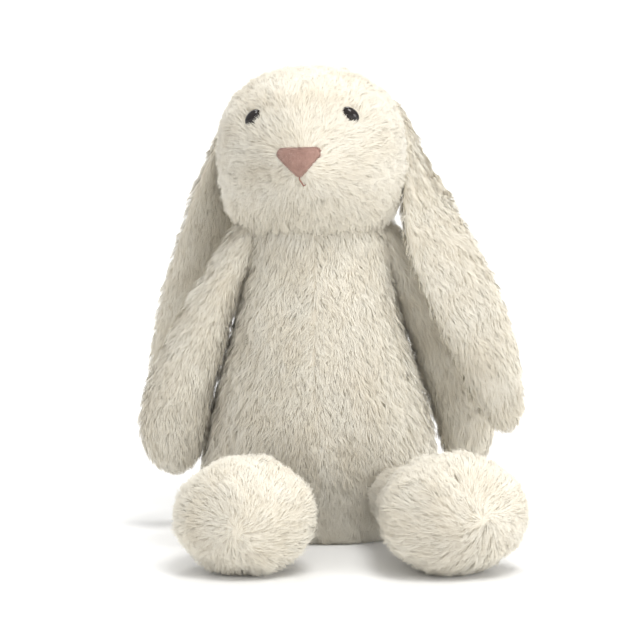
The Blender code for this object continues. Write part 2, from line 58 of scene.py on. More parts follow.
# %% [markdown]
# ## The sewing pattern
#
# A stuffed limb is a tube of plush that is turned inside out, filled, and closed at its root. Each row
# below is one ring of such a tube: its middle, its half width, its half depth, and how far its flat side is
# turned round the vertical. `BODY_RINGS` and `LIMB_RINGS` made the solids in the CAD too, so away from the
# joins a skin lies on its solids. `TORSO_RINGS` and `ROOT_RINGS` are for the skins only.

# %% Pattern sizes
HEAD_CENTRE = Vector((-5, 2, 221)) * MM
HEAD_TURN = math.radians(-7)
HEAD_TILT = math.radians(-2)
HEAD_HALF = np.array((51.5, 50, 45.5)) * MM
CROWN_POWER = 2.25
CHEEK_POWER = 3.3
CHIN_SAG = 1.07  # the filling settles, so the chin hangs this much lower than the pattern
MUZZLE_OUT = 8 * MM
MUZZLE_DROP = 9 * MM
MUZZLE_WIDE = 24 * MM
MUZZLE_TALL = 17 * MM
NOSE_WIDTH = 24.5 * MM
NOSE_HEIGHT = 16 * MM
NOSE_UP = -6 * MM
EYE_APART = 27.2 * MM
EYE_UP = 19 * MM
EYE_RADIUS = 4.7 * MM
EYE_DOME = 3.6 * MM
EYE_RIM = 0.8 * MM
EYE_STEM = 1.6 * MM
EYE_STEM_LONG = 6.2 * MM
EYE_HOLLOW = 9 * MM  # how far round an eye its washer draws the stuffing in
EYE_SLANT = {"left": -35, "right": 41}
EYE_OVAL = np.array((1.18, 0.78))
MOUTH_LENGTH = 5 * MM
MOUTH_SLANT = 3 * MM
MOUTH_THREAD = 0.4 * MM
NOSE_THREAD = 0.16 * MM
SEAM_AT = -3 * MM  # the centre seam of the belly, and how wide and how low its parting is
SEAM_WIDE = 5 * MM
SEAM_LOW = 80 * MM
TORSO_PILE = (1.5 * MM, 184 * MM)
PILE_LENGTH = {"arm": 7.0, "ear": 6.4, "leg": 6.8, "tail": 8.5}

BODY_RINGS = [
    ((0, -2, -4), 60, 48, 0),
    ((0, -2, 20), 70.5, 57, 0),
    ((0, -2, 60), 66.5, 55, 0),
    ((-1, -1, 100), 53.5, 47, 0),
    ((-1.5, 1, 135), 44.5, 39, 0),
    ((-2, 3, 157), 39, 32, 0),
    ((-3, 3, 168.5), 30, 24, 0),
]
# The torso's skin runs on up under the chin, where it is sewn to the head. The skins of the arms and the
# legs start inside the torso, and those of the ears inside the head, so that no join shows.
TORSO_RINGS = BODY_RINGS[:-2] + [
    ((-2, 3, 156), 41.5, 33, 0),
    ((-3, 3, 171), 40, 31, 0),
    ((-4, 3, 186), 35, 28, 0),
]
ROOT_RINGS = {
    "arm_left": [((33, 5, 176), 8, 10, 0), ((40.5, 6.5, 165), 10, 11, 0)],
    "arm_right": [((-37, -1, 176), 8, 10, 0), ((-44.5, -4, 165), 10, 11, 0)],
    "ear_left": [((38, 24, 246), 9, 4, 112), ((43.5, 26, 238), 11, 4.5, 110)],
    "ear_right": [((-41, 33, 246), 9, 4, 52), ((-47, 35.5, 238), 11, 4.5, 53)],
    "leg_left": [((44, -56, 29), 14, 14, 0), ((45, -68, 28.5), 17, 17, 0)],
    "leg_right": [((-39, -58, 29), 14, 14, 0), ((-39, -71, 28.5), 17, 17, 0)],
}
LIMB_RINGS = {
    "arm_left": [
        ((40, 6, 167.5), 5.5, 9, 0),
        ((47.5, 8, 150.5), 8, 10, 0),
        ((58, 10.5, 129), 11.5, 12, 0),
        ((71.5, 13, 101), 15.5, 15, 0),
        ((84.5, 14.5, 71), 17.5, 16.5, 0),
        ((87.5, 14.5, 46), 14.5, 13, 0),
    ],
    "arm_right": [
        ((-43.5, -4, 167.5), 5.5, 9, 0),
        ((-52.5, -6, 151.5), 9.5, 10.5, 0),
        ((-62.5, -9, 130), 13, 12.5, 0),
        ((-74.5, -11.5, 102), 16.5, 15.5, 0),
        ((-84.5, -12.5, 71), 20.5, 17.5, 0),
        ((-84.5, -12.5, 46.5), 16.5, 13.5, 0),
    ],
    "ear_left": [
        ((43, 26.5, 240), 10.5, 4, 112),
        ((52.5, 20.5, 222), 14, 4.4, 92),
        ((59.5, 9, 202), 18, 5.6, 58),
        ((65, -10, 175), 21.5, 6, 22),
        ((78.5, -22, 145), 21, 6, 6),
        ((93, -28, 112), 18.5, 6, 0),
        ((103, -29, 77), 14.5, 5.5, 0),
    ],
    "ear_right": [
        ((-46.5, 35.5, 240), 11, 4, 52),
        ((-53.5, 36, 222), 14, 4.4, 56),
        ((-59.5, 35.5, 202), 18, 5.6, 54),
        ((-63, 36, 175), 20.5, 6, 30),
        ((-69.5, 37, 145), 20.5, 6, 6),
        ((-80, 38, 115), 18.5, 6, 0),
        ((-88, 38, 86), 14.5, 5.5, 0),
    ],
    "leg_left": [
        ((44, -65.5, 28), 16, 16, 0),
        ((52, -87, 28.5), 17.5, 17.5, 0),
        ((65, -108, 31), 37, 31, 0),
        ((75, -132, 31.4), 42.5, 32, 0),
        ((80, -147, 31), 22, 18, 0),
    ],
    "leg_right": [
        ((-39, -68.5, 28), 16, 16, 0),
        ((-39, -89, 28.5), 17.5, 17.5, 0),
        ((-39.6, -109, 30.6), 35, 30, 0),
        ((-40.2, -133, 30.8), 38.5, 31.5, 0),
        ((-40.4, -148, 30.2), 20, 17.5, 0),
    ],
}
TIP = {"arm": 15, "ear": 24, "leg": 5}
SIDES = {"arm": 6, "ear": 6, "leg": 8}
BALL_POLE = 1.5
print("limbs:", ", ".join(LIMB_RINGS))

# %% [markdown]
# ## Small tools
#
# The pile has several hundred thousand hairs, so everything about it is worked out on whole arrays at once.
# `ripple` is a sum of seeded sine waves: a smooth, repeatable unevenness that is the same in every run.


# %% Array tools
def unit(vectors):
    return vectors / np.maximum(np.linalg.norm(vectors, axis=-1, keepdims=True), 1e-12)


def ripple(points, wavelength, seed, terms=14):
    """Smooth seeded noise round 0, mostly between -1 and 1."""
    rng = np.random.default_rng(seed)
    waves = unit(rng.normal(size=(terms, 3))) * rng.uniform(0.6, 1.6, (terms, 1))
    phases = rng.uniform(0, 2 * math.pi, terms)
    return np.sin(points @ (waves * 2 * math.pi / wavelength).T + phases).sum(1) / math.sqrt(terms)


def flat_on(vectors, normals):
    """The vectors laid flat on the surface with these normals."""
    return unit(vectors - (vectors * normals).sum(1, keepdims=True) * normals)


# %% [markdown]
# ## Materials
#
# The plush backing shows only between the hairs. It is a matt cream with a knitted grain, a little darker
# than the hairs: painted shade for the gaps between them. One shared group makes that grain, and the nose and
# the threads use it too at their own scales. The hairs use five plain tints of the same cream, dealt out in
# soft patches, as dyed polyester pile varies when it is rubbed.


# %% Shared grain group and materials
def new_group(name, inputs, outputs):
    group = bpy.data.node_groups.new(name, "ShaderNodeTree")
    for socket, kind, value in inputs:
        made = group.interface.new_socket(socket, in_out="INPUT", socket_type=kind)
        made.default_value = value
    for socket, kind in outputs:
        group.interface.new_socket(socket, in_out="OUTPUT", socket_type=kind)
    entry = group.nodes.new("NodeGroupInput")
    leave = group.nodes.new("NodeGroupOutput")
    return group, entry, leave


def make_grain():
    """Fibre grain: two colours in soft patches and fine fibres, and a bump normal of the same fibres."""
    group, entry, leave = new_group(
        "FibreGrain",
        [
            ("Light", "NodeSocketColor", (0.8, 0.8, 0.8, 1)),
            ("Dark", "NodeSocketColor", (0.5, 0.5, 0.5, 1)),
            ("Fibres per metre", "NodeSocketFloat", 900.0),
            ("Patches per metre", "NodeSocketFloat", 40.0),
            ("Stretch", "NodeSocketVector", (1.0, 1.0, 0.3)),
            ("Relief", "NodeSocketFloat", 0.4),
        ],
        [("Colour", "NodeSocketColor"), ("Normal", "NodeSocketVector")],
    )
    nodes, links = group.nodes, group.links
    place = nodes.new("ShaderNodeTexCoord")
    stretch = nodes.new("ShaderNodeVectorMath")
    stretch.operation = "MULTIPLY"
    links.new(place.outputs["Object"], stretch.inputs[0])
    links.new(entry.outputs["Stretch"], stretch.inputs[1])
    fibres = nodes.new("ShaderNodeTexNoise")
    fibres.inputs["Detail"].default_value = 4
    links.new(stretch.outputs[0], fibres.inputs["Vector"])
    links.new(entry.outputs["Fibres per metre"], fibres.inputs["Scale"])
    patches = nodes.new("ShaderNodeTexNoise")
    patches.inputs["Detail"].default_value = 2
    links.new(place.outputs["Object"], patches.inputs["Vector"])
    links.new(entry.outputs["Patches per metre"], patches.inputs["Scale"])
    both = nodes.new("ShaderNodeMath")
    both.operation = "ADD"
    links.new(fibres.outputs["Fac"], both.inputs[0])
    links.new(patches.outputs["Fac"], both.inputs[1])
    share = nodes.new("ShaderNodeMapRange")
    share.inputs["From Min"].default_value = 0.7
    share.inputs["From Max"].default_value = 1.3
    links.new(both.outputs[0], share.inputs["Value"])
    mix = nodes.new("ShaderNodeMix")
    mix.data_type = "RGBA"
    links.new(share.outputs["Result"], mix.inputs["Factor"])
    links.new(entry.outputs["Dark"], mix.inputs[6])
    links.new(entry.outputs["Light"], mix.inputs[7])
    bump = nodes.new("ShaderNodeBump")
    bump.inputs["Distance"].default_value = 0.4 * MM
    links.new(entry.outputs["Relief"], bump.inputs["Strength"])
    links.new(fibres.outputs["Fac"], bump.inputs["Height"])
    links.new(mix.outputs[2], leave.inputs["Colour"])
    links.new(bump.outputs["Normal"], leave.inputs["Normal"])
    return group


GRAIN = make_grain()


def grained(
    name, light, dark, roughness, fibres, patches, stretch=(1, 1, 0.3), relief=0.4, sheen=0.0
):
    """A Principled material whose colour and normal come from the shared grain."""
    material = bpy.data.materials.new(name)
    material.use_nodes = True
    nodes, links = material.node_tree.nodes, material.node_tree.links
    shader = nodes["Principled BSDF"]
    grain = nodes.new("ShaderNodeGroup")
    grain.node_tree = GRAIN
    grain.inputs["Light"].default_value = (*light, 1)
    grain.inputs["Dark"].default_value = (*dark, 1)
    grain.inputs["Fibres per metre"].default_value = fibres
    grain.inputs["Patches per metre"].default_value = patches
    grain.inputs["Stretch"].default_value = stretch
    grain.inputs["Relief"].default_value = relief
    links.new(grain.outputs["Colour"], shader.inputs["Base Color"])
    links.new(grain.outputs["Normal"], shader.inputs["Normal"])
    shader.inputs["Roughness"].default_value = roughness
    shader.inputs["Sheen Weight"].default_value = sheen
    return material


def plain(name, colour, roughness, sheen=0.0):
    material = bpy.data.materials.new(name)
    material.use_nodes = True
    shader = material.node_tree.nodes["Principled BSDF"]
    shader.inputs["Base Color"].default_value = (*colour, 1)
    shader.inputs["Roughness"].default_value = roughness
    shader.inputs["Sheen Weight"].default_value = sheen
    return material


PILE_TINTS = [
    (0.89, 0.85, 0.745),
    (0.875, 0.83, 0.72),
    (0.855, 0.805, 0.69),
    (0.83, 0.775, 0.655),
    (0.79, 0.73, 0.605),
]
NOSE_TINTS = [
    (0.52, 0.33, 0.275),
    (0.48, 0.295, 0.24),
    (0.44, 0.265, 0.215),
    (0.56, 0.37, 0.31),
    (0.39, 0.225, 0.18),
]
# The backing's cream is darker than the pile tints as painted shade in the gaps between the hairs.
backing = grained("plush_backing", (0.84, 0.785, 0.67), (0.77, 0.71, 0.59), 0.95, 1200, 60, sheen=0.2)
pile = [plain(f"plush_pile_{i}", tint, 0.75, 0.15) for i, tint in enumerate(PILE_TINTS)]
velvet = grained("nose_velvet", (0.52, 0.32, 0.265), (0.43, 0.25, 0.2), 0.85, 2600, 150, (1, 1, 1), 0.5, 0.5)
velvet_pile = [plain(f"nose_pile_{i}", tint, 0.8, 0.4) for i, tint in enumerate(NOSE_TINTS)]
rose = grained("rose_thread", (0.36, 0.17, 0.12), (0.22, 0.09, 0.06), 0.6, 4000, 300, (1, 1, 1), 0.6, 0.3)
cotton = grained("seam_cotton", (0.76, 0.68, 0.53), (0.60, 0.51, 0.37), 0.8, 4000, 300, (1, 1, 1), 0.6, 0.3)
bead = grained("eye_black", (0.016, 0.011, 0.008), (0.006, 0.004, 0.004), 0.07, 700, 60, (1, 1, 1), 0.02)
milky = grained("washer_plastic", (0.72, 0.72, 0.68), (0.62, 0.62, 0.58), 0.4, 300, 30, (1, 1, 1), 0.1)
print("materials:", len(bpy.data.materials))


# %% [markdown]
# ## Skins
#
# A skin is the outside of one stuffed piece. The limbs are tubes of rings rounded by subdivision, as in the
# CAD but finer, and the head is a ball with full cheeks and a muzzle. Real filling is never quite even, so
# a slow ripple of about a millimetre dents the body and each limb.


# %% Cages and skins
def swell(sides):
    """Subdividing a ring of this many points draws it in, and this is what makes up for it."""
    return 8 / (6 + 2 * math.cos(2 * math.pi / sides))


def tube_cage(name, stations, start, end, sides):
    """A closed tube through the rings, drawn together to a point at both ends. All in metres."""
    middles = [Vector(s[0]) * MM for s in stations]
    line = [start] + middles + [end]
    bm = bmesh.new()
    rings = []
    for i, (_, half_across, half_through, degrees) in enumerate(stations):
        along = (line[i + 2] - line[i]).normalized()
        turn = math.radians(degrees)
        across = Vector((math.cos(turn), math.sin(turn), 0))
        across = (across - across.dot(along) * along).normalized()
        through = along.cross(across)
        ring = []
        for k in range(sides):
            angle = 2 * math.pi * k / sides
            offset = across * (half_across * math.cos(angle)) + through * (half_through * math.sin(angle))
            ring.append(bm.verts.new(middles[i] + offset * MM * swell(sides)))
        rings.append(ring)
    for low, high in zip(rings, rings[1:]):
        for k in range(sides):
            bm.faces.new((low[k], low[(k + 1) % sides], high[(k + 1) % sides], high[k]))
    for ring, tip in ((rings[0], start), (rings[-1], end)):
        point = bm.verts.new(tip)
        for k in range(sides):
            bm.faces.new((ring[k], ring[(k + 1) % sides], point))
    bmesh.ops.recalc_face_normals(bm, faces=bm.faces)
    mesh = bpy.data.meshes.new(name)
    bm.to_mesh(mesh)
    bm.free()
    return mesh


def rounded(mesh, levels):
    """The mesh after this many levels of subdivision, as a plain mesh."""
    guide = bpy.data.objects.new("guide", mesh)
    bpy.context.scene.collection.objects.link(guide)
    modifier = guide.modifiers.new("soft", "SUBSURF")
    modifier.levels = levels
    modifier.render_levels = levels
    bpy.context.view_layer.update()
    made = bpy.data.meshes.new_from_object(guide.evaluated_get(bpy.context.evaluated_depsgraph_get()))
    bpy.data.objects.remove(guide)
    return made


def points_of(mesh):
    co = np.empty(len(mesh.vertices) * 3, np.float32)
    mesh.vertices.foreach_get("co", co)
    return co.reshape(-1, 3).astype(float)


def set_points(mesh, points):
    mesh.vertices.foreach_set("co", points.astype(np.float32).ravel())
    mesh.update()


def normals_of(mesh):
    normals = np.empty(len(mesh.vertices) * 3, np.float32)
    mesh.vertex_normals.foreach_get("vector", normals)
    return normals.reshape(-1, 3).astype(float)


def dent(mesh, depth, wavelength, seed):
    """Uneven filling: moves the surface in and out by up to about the depth."""
    points = points_of(mesh)
    push = ripple(points, wavelength, seed) * depth
    set_points(mesh, points + normals_of(mesh) * push[:, None])


def head_frame():
    turn = Matrix.Rotation(HEAD_TURN, 4, "Z") @ Matrix.Rotation(HEAD_TILT, 4, "Y")
    return Matrix.Translation(HEAD_CENTRE) @ turn


def apply_matrix(matrix, points):
    rows = np.array(matrix)
    return points @ rows[:3, :3].T + rows[:3, 3]


def head_mesh():
    bm = bmesh.new()
    bmesh.ops.create_uvsphere(bm, u_segments=96, v_segments=64, radius=1)
    mesh = bpy.data.meshes.new("skin_head")
    bm.to_mesh(mesh)
    bm.free()
    ball = points_of(mesh)
    z = ball[:, 2]
    far = np.clip(np.abs(z), 0, 0.9999)
    power = np.where(z < 0, CHEEK_POWER, CROWN_POWER)
    full = (1 - far**power) ** (1 / power) / np.sqrt(1 - far**2)
    points = np.stack((ball[:, 0] * full, ball[:, 1] * (1 + full) / 2, z), axis=1) * HEAD_HALF
    near = np.exp(-((points[:, 0] / MUZZLE_WIDE) ** 2) - ((points[:, 2] + MUZZLE_DROP) / MUZZLE_TALL) ** 2)
    points[:, 1] -= MUZZLE_OUT * near * np.clip(-2 * ball[:, 1], 0, 1)
    points[:, 2] *= np.where(ball[:, 2] < 0, CHIN_SAG, 1.0)
    # The stuffing is drawn in where the eyes' washers pull, and along the mouth.
    for side in (-1, 1):
        spot = np.hypot(points[:, 0] - side * EYE_APART, points[:, 2] - EYE_UP) / EYE_HOLLOW
        points[:, 1] += 1.6 * MM * np.exp(-(spot**2)) * (ball[:, 1] < 0)
    split = np.exp(-((points[:, 0] / (2.5 * MM)) ** 2) - ((points[:, 2] + 18 * MM) / (8 * MM)) ** 2)
    points[:, 1] += 1.2 * MM * split * (ball[:, 1] < 0)
    set_points(mesh, apply_matrix(head_frame(), points))
    return mesh


def limb_mesh(name):
    stations = ROOT_RINGS[name] + LIMB_RINGS[name][1:]
    kind = name.split("_")[0]
    first, second, before_last, last = (Vector(stations[i][0]) for i in (0, 1, -2, -1))
    start = (first + (first - second).normalized() * min(stations[0][1:3]) * BALL_POLE) * MM
    end = (last + (last - before_last).normalized() * TIP[kind]) * MM
    return rounded(tube_cage("skin_" + name, stations, start, end, SIDES[kind]), 4 if kind == "ear" else 3)


def body_mesh():
    start, end = Vector((0, -2, -12)) * MM, Vector((-4, 3, 194)) * MM
    mesh = rounded(tube_cage("skin_body", TORSO_RINGS, start, end, 8), 4)
    dent(mesh, 0.9 * MM, 55 * MM, 11)
    points = points_of(mesh)
    points[:, 2] = np.maximum(points[:, 2], 0.4 * MM)
    set_points(mesh, points)
    return mesh


def tail_mesh():
    bm = bmesh.new()
    low, high = (np.array(corner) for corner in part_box("tail_cover"))
    bmesh.ops.create_uvsphere(bm, u_segments=32, v_segments=20, radius=1)
    mesh = bpy.data.meshes.new("skin_tail")
    bm.to_mesh(mesh)
    bm.free()
    set_points(mesh, points_of(mesh) * (high - low) / 2 + (low + high) / 2)
    return mesh


def show(name, mesh, body, material):
    thing = bpy.data.objects.new(name, mesh)
    bpy.context.scene.collection.objects.link(thing)
    mesh.shade_smooth()
    mesh.materials.clear()
    mesh.materials.append(material)
    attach(thing, body)
    return thing


def nodes_starting(*starts):
    return [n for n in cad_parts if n.startswith(starts) and not n.endswith("seam_thread")]


skins = {}
skins["head"] = show("skin_head", head_mesh(), "head", backing)
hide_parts(*nodes_starting("head_"))
skins["body"] = show("skin_body", body_mesh(), "body", backing)
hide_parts(*nodes_starting("body_"))
skins["tail"] = show("skin_tail", tail_mesh(), "body", backing)
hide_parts(*nodes_starting("tail_"))
for index, limb in enumerate(LIMB_RINGS):
    mesh = limb_mesh(limb)
    dent(mesh, (0.3 if "ear" in limb else 0.6) * MM, 30 * MM, 20 + index)
    skins[limb] = show("skin_" + limb, mesh, limb, backing)
    foot = [f"foot_{limb[4:]}"] if limb.startswith("leg") else []
    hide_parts(*nodes_starting(limb, *foot))
print("skins:", {name: len(skin.data.vertices) for name, skin in skins.items()})


# %% [markdown]
# ## The pile
#
# Plush is a knit with cut fibres standing out of it. The factory brushes them one way, so every hair leaves
# the cloth, leans over along the nap, and tapers to nothing. Hairs stick to their neighbours in small
# tufts, and the tufts part where the nap changes direction. So each hair here is a narrow blade with four
# points along it: it starts at a random place on the skin, leans along the nap, and its tip is pulled to
# its tuft's tip.


# %% Growing hairs
ALONG = np.array((0.0, 0.34, 0.7, 1.0))
WIDE = np.array((0.8, 1.0, 0.72, 0.0))
FLOOR_CLEAR = 0.25 * MM
BLADE = np.array((0, 1, 3, 2, 2, 3, 5, 4, 4, 5, 6))  # two quads and a triangle on seven points
BLADE_FACES = np.array((0, 4, 8))
BLADE_POINTS = 7
# How far hairs stray from the nap: the turn in radians, then the ranges of the stretch and the rise.
HAIR_STRAY = (0.26, (0.72, 1.12), (0.7, 1.3))
TUFT_STRAY = (0.3, (0.9, 1.15), (0.8, 1.3))


def scatter(skin, per_mm2, rng):
    """Random places on a skin and its smooth normals there."""
    mesh = skin.data
    mesh.calc_loop_triangles()
    corners = np.empty(len(mesh.loop_triangles) * 3, np.int32)
    mesh.loop_triangles.foreach_get("vertices", corners)
    corners = corners.reshape(-1, 3)
    points, normals = points_of(mesh), normals_of(mesh)
    a, b, c = (points[corners[:, k]] for k in range(3))
    areas = np.linalg.norm(np.cross(b - a, c - a), axis=1) / 2
    count = int(areas.sum() / MM**2 * per_mm2)
    chosen = rng.choice(len(areas), count, p=areas / areas.sum())
    u, v = rng.random((2, count))
    over = u + v > 1
    u[over], v[over] = 1 - u[over], 1 - v[over]
    weights = np.stack((1 - u - v, u, v), axis=1)[:, :, None]
    return (points[corners[chosen]] * weights).sum(1), unit((normals[corners[chosen]] * weights).sum(1))


def nearest(points, centres):
    """For each point, which centre is nearest."""
    tree = KDTree(len(centres))
    for i, centre in enumerate(centres):
        tree.insert(centre, i)
    tree.balance()
    return np.array([tree.find(p)[1] for p in points])


def hairs(name, body, skin, nap, length, per_mm2=1.8, lift=0.37, tuft=2.4, pull=0.34, wide=0.3, seed=1,
          keep=None, looks=None, tints=(0, 5), wander=0.3):
    """One piece of pile on a skin. nap, length and keep are functions of the places and their normals."""
    rng = np.random.default_rng(seed)
    roots, normals = scatter(skin, per_mm2, rng)
    if keep is not None:
        kept = keep(roots, normals)
        roots, normals = roots[kept], normals[kept]
    count = len(roots)
    combed = flat_on(nap(roots, normals), normals)
    aside = np.cross(normals, combed)
    swerve = wander * (ripple(roots, 13 * MM, seed + 1) + 0.6 * ripple(roots, 5 * MM, seed + 2))
    combed = unit(combed * np.cos(swerve)[:, None] + aside * np.sin(swerve)[:, None])
    long = length(roots, normals) * (1 + 0.13 * ripple(roots, 9 * MM, seed + 3))

    def curve(index, turn, stretch, raise_by):
        """The four points of each hair, from its root: out of the cloth at first, then over along the nap."""
        n, d = normals[index][:, None, :], combed[index]
        d = unit(d * np.cos(turn)[:, None] + np.cross(normals[index], d) * np.sin(turn)[:, None])[:, None, :]
        size = (long[index] * stretch)[:, None, None]
        t = ALONG[None, :, None]
        up = raise_by[:, None, None]
        return size * (n * up * (1.9 * t - 0.9 * t**2) + d * (0.35 * t + 0.6 * t**2))

    def stray(index, turn, stretch, rise):
        """The curves of these hairs, each turned, stretched and raised a little at random."""
        turns = rng.normal(0, turn, len(index))
        stretches = rng.uniform(*stretch, len(index))
        return curve(index, turns, stretches, raised[index] * rng.uniform(*rise, len(index)))

    every = np.arange(count)
    raised = lift * (1 + 0.25 * ripple(roots, 7 * MM, seed + 4))
    own = stray(every, *HAIR_STRAY)
    tufts = rng.choice(count, max(8, int(count / (per_mm2 * tuft**2))), replace=False)
    mine = nearest(roots, roots[tufts])
    lead = stray(tufts, *TUFT_STRAY)
    target = roots[tufts][mine][:, None, :] + lead[mine] - roots[:, None, :]
    parted = np.clip(0.75 + 0.45 * ripple(roots, 34 * MM, seed + 7), 0.2, 1.6)
    share = parted[:, None, None] * (pull * ALONG**1.3)[None, :, None]
    path = roots[:, None, :] + own * (1 - share) + target * share
    path[:, :, 2] = np.maximum(path[:, :, 2], FLOOR_CLEAR)

    direction = unit(path[:, 3] - path[:, 0])
    side = unit(np.cross(direction, normals))
    tilt = rng.normal(0, 0.3, count)
    side = unit(side * np.cos(tilt)[:, None] + np.cross(direction, side) * np.sin(tilt)[:, None])
    half = (wide * MM / 2 * rng.uniform(0.8, 1.2, count))[:, None, None] * WIDE[None, :3, None]
    left, right = path[:, :3] - side[:, None] * half, path[:, :3] + side[:, None] * half
    places = np.concatenate((np.stack((left, right), axis=2).reshape(count, 6, 3), path[:, 3:4]), axis=1)

    lean = normals[:, None, :] + 0.18 * direction[:, None, :] * ALONG[None, :, None]
    edge = 0.16 * side[:, None]
    sides = np.stack((lean[:, :3] - edge, lean[:, :3] + edge), axis=2).reshape(count, 6, 3)
    shown = np.concatenate((sides, lean[:, 3:4]), axis=1)
    shown = unit(shown.reshape(-1, 3))

    mesh = bpy.data.meshes.new(name)
    mesh.vertices.add(count * BLADE_POINTS)
    mesh.loops.add(count * len(BLADE))
    mesh.polygons.add(count * len(BLADE_FACES))
    mesh.vertices.foreach_set("co", places.astype(np.float32).ravel())
    corners = BLADE[None] + BLADE_POINTS * every[:, None]
    mesh.loops.foreach_set("vertex_index", corners.astype(np.int32).ravel())
    starts = BLADE_FACES[None] + len(BLADE) * every[:, None]
    mesh.polygons.foreach_set("loop_start", starts.astype(np.int32).ravel())
    patchy = 0.42 + 0.2 * ripple(roots, 26 * MM, seed + 5) + 0.08 * ripple(roots, 7 * MM, seed + 6)
    patchy += rng.normal(0, 0.13, count)
    low, high = tints
    tint = np.clip((low + patchy * (high - low)).astype(int), low, high - 1)
    mesh.polygons.foreach_set("material_index", np.repeat(tint, len(BLADE_FACES)).astype(np.int32))
    mesh.update(calc_edges=True)
    mesh.validate()
    mesh.shade_smooth()
    mesh.normals_split_custom_set_from_vertices(shown)
    thing = bpy.data.objects.new(name, mesh)
    bpy.context.scene.collection.objects.link(thing)
    for material in looks or pile:
        mesh.materials.append(material)
    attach(thing, body)
    print(name, count, "hairs")
    return thing


# %% [markdown]
# ## Which way the nap runs
#
# On the face the nap starts at the nose and runs up over the forehead, sideways across the cheeks and down
# under the chin. It runs down the body, down the arms and the ears. On each sole it spreads from the middle
# in a slow swirl, and from there it runs over the rim and back along the foot.


# %% Nap and length of each piece
FACE = head_frame()
NOSE_AT = np.array(FACE @ Vector((0, -1.1 * HEAD_HALF[1], NOSE_UP)))


def constant(value):
    return lambda points, normals: np.full(len(points), value * MM)


def in_face(points):
    return apply_matrix(FACE.inverted(), points)


def low_on_head(points):
    """0 above the cheeks, and 1 under the chin."""
    return np.clip((HEAD_CENTRE.z - 22 * MM - points[:, 2]) / (16 * MM), 0, 1)


def head_nap(points, normals):
    away = points - NOSE_AT
    droop = 0.25 * np.clip(away[:, 1:2] / (60 * MM), 0, 1) + 0.9 * low_on_head(points)[:, None]
    return unit(away) + np.array((0, 0, -1)) * droop


def head_length(points, normals):
    face = in_face(points)
    front = np.clip(-face[:, 1] / HEAD_HALF[1], 0, 1)
    near_nose = np.exp(-((np.hypot(face[:, 0], face[:, 2] - NOSE_UP) / (20 * MM)) ** 2)) * front
    from_eyes = (np.hypot(face[:, 0] - s * EYE_APART, face[:, 2] - EYE_UP) for s in (-1, 1))
    eyes = sum(np.exp(-((far / EYE_HOLLOW) ** 2)) for far in from_eyes)
    return (7.2 - 3.2 * near_nose - 2.6 * eyes * front + 3.0 * low_on_head(points)) * MM


def clear_of_face(points, normals):
    """No hairs grow under the nose or the eyes."""
    face = in_face(points)
    front = face[:, 1] < 0
    top = NOSE_UP + NOSE_HEIGHT / 2
    down = (top - face[:, 2]) / NOSE_HEIGHT
    nose = (down > 0.02) & (down < 0.98) & (np.abs(face[:, 0]) < NOSE_WIDTH / 2 * (1 - down) + 0.4 * MM)
    eyes = np.zeros(len(points), bool)
    for side, sign in (("left", 1), ("right", -1)):
        slant = math.radians(EYE_SLANT[side])
        x, z = face[:, 0] - sign * EYE_APART, face[:, 2] - EYE_UP
        long, short = x * math.cos(slant) + z * math.sin(slant), z * math.cos(slant) - x * math.sin(slant)
        eyes |= np.hypot(long / EYE_OVAL[0], short / EYE_OVAL[1]) < EYE_RADIUS * 0.97
    return ~(front & (nose | eyes))


def body_nap(points, normals):
    out = np.sign(points[:, 0]) * np.clip(np.abs(points[:, 0]) / (40 * MM), 0, 1) * 0.15
    seam = (points[:, 0] - SEAM_AT) / SEAM_WIDE
    out += 0.45 * np.sign(seam) * np.exp(-(seam**2)) * ((points[:, 1] < 0) & (points[:, 2] > SEAM_LOW))
    return np.stack((out, np.zeros(len(points)), -np.ones(len(points))), axis=1)


def body_length(points, normals):
    return (7.2 + 1.2 * np.clip(1 - points[:, 2] / (60 * MM), 0, 1)) * MM


def limb_nap(name):
    middles = np.array([s[0] for s in LIMB_RINGS[name]]) * MM
    along = unit(np.diff(middles, axis=0))

    def nap(points, normals):
        halfway = (middles[1:] + middles[:-1]) / 2
        far = np.linalg.norm(points[:, None] - halfway[None], axis=2)
        share = np.exp(-((far / (18 * MM)) ** 2)) + 1e-9
        run = unit((share[:, :, None] * along[None]).sum(1))
        from_end = points - middles[-1]
        past_end = np.clip(from_end @ along[-1] / (20 * MM), 0, 1)
        return run + 0.5 * past_end[:, None] * unit(from_end)

    return nap


def leg_nap(name):
    middles = np.array([s[0] for s in LIMB_RINGS[name]]) * MM
    along = unit(middles[-1] - middles[-2])
    centre = middles[-1] + along * 6 * MM
    forward = limb_nap(name)
    turn = 1 if "left" in name else -1

    def nap(points, normals):
        facing = np.clip((normals @ along - 0.45) / 0.3, 0, 1)[:, None]
        spread = points - centre - 4 * MM * turn * np.array((1, 0, 0.6))
        swirl = np.cross(spread, along) * 0.45 * turn
        return -forward(points, normals) * (1 - facing) + unit(spread + swirl) * facing

    return nap


def between_seat_and_neck(points):
    return (points[:, 2] > TORSO_PILE[0]) & (points[:, 2] < TORSO_PILE[1])


